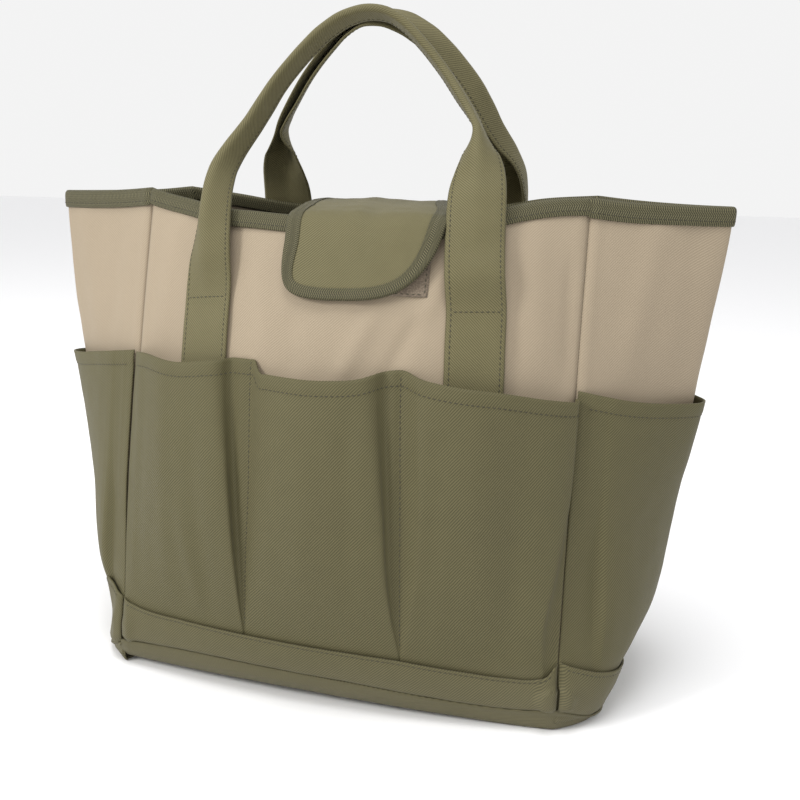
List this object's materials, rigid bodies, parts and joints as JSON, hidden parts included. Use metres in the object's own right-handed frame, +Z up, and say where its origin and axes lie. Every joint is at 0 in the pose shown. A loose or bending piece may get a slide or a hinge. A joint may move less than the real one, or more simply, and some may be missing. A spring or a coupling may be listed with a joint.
{
  "type": "garden tool bag",
  "caption": "Open-topped fabric tote for garden tools with outside pockets all round, two strap handles and a hook-and-loop closing flap.",
  "frame": {"origin": "middle of the base, on the surface that the bag stands on", "axes": "+Z up, +X to the bag's right seen from its front, -Y out of the front panel, which the flap closes over"},
  "size_m": [0.5134, 0.2634, 0.4645],
  "materials": {
    "tan_fabric": "coated twill-look oxford cloth",
    "olive_fabric": "coated twill-look oxford cloth",
    "strap_fabric": "folded and edge-stitched oxford cloth",
    "binding_tape": "ribbed grosgrain tape",
    "stiffener_board": "plain sheet",
    "hook_tape": "fine hooks",
    "loop_tape": "brushed loops"
  },
  "bodies": {
    "bag": {"bottom_panel": "olive_fabric", "base_board": "stiffener_board", "front_panel": "tan_fabric", "back_panel": "tan_fabric", "left_gusset": "tan_fabric", "right_gusset": "tan_fabric", "rim_binding": "binding_tape", "loop_patch": "loop_tape", "left_pocket": "olive_fabric", "right_pocket": "olive_fabric", "left_base_band": "olive_fabric", "right_base_band": "olive_fabric", "front_base_band": "olive_fabric", "front_left_pocket": "olive_fabric", "front_centre_pocket": "olive_fabric", "front_right_pocket": "olive_fabric", "front_handle_left_end": "strap_fabric", "front_left_seam_binding": "binding_tape", "front_handle_right_end": "strap_fabric", "front_right_seam_binding": "binding_tape", "back_base_band": "olive_fabric", "back_left_pocket": "olive_fabric", "back_centre_pocket": "olive_fabric", "back_right_pocket": "olive_fabric", "back_handle_left_end": "strap_fabric", "back_left_seam_binding": "binding_tape", "back_handle_right_end": "strap_fabric", "back_right_seam_binding": "binding_tape"},
    "front_handle": {"front_handle": "strap_fabric"},
    "back_handle": {"back_handle": "strap_fabric"},
    "flap": {"flap": "olive_fabric", "flap_binding": "binding_tape"},
    "flap_tongue": {"flap_tongue": "olive_fabric", "tongue_binding": "binding_tape", "hook_patch": "hook_tape"}
  },
  "joints": [
    {"name": "front_handle_swing", "type": "hinge", "parent": "bag", "child": "front_handle", "pos_m": [0, -0.08357, 0.2702], "axis": [1, 0, 0], "range_deg": [0, 160]},
    {"name": "back_handle_swing", "type": "hinge", "parent": "bag", "child": "back_handle", "pos_m": [0, 0.08357, 0.2702], "axis": [-1, 0, 0], "range_deg": [0, 160]},
    {"name": "flap_lift", "type": "hinge", "parent": "bag", "child": "flap", "pos_m": [0.01, 0.06701, 0.325], "axis": [-1, 0, 0], "range_deg": [0, 30]},
    {"name": "tongue_peel", "type": "hinge", "parent": "flap", "child": "flap_tongue", "pos_m": [0.01, -0.07401, 0.3262], "axis": [-1, 0, 0], "range_deg": [0, 110]}
  ]
}
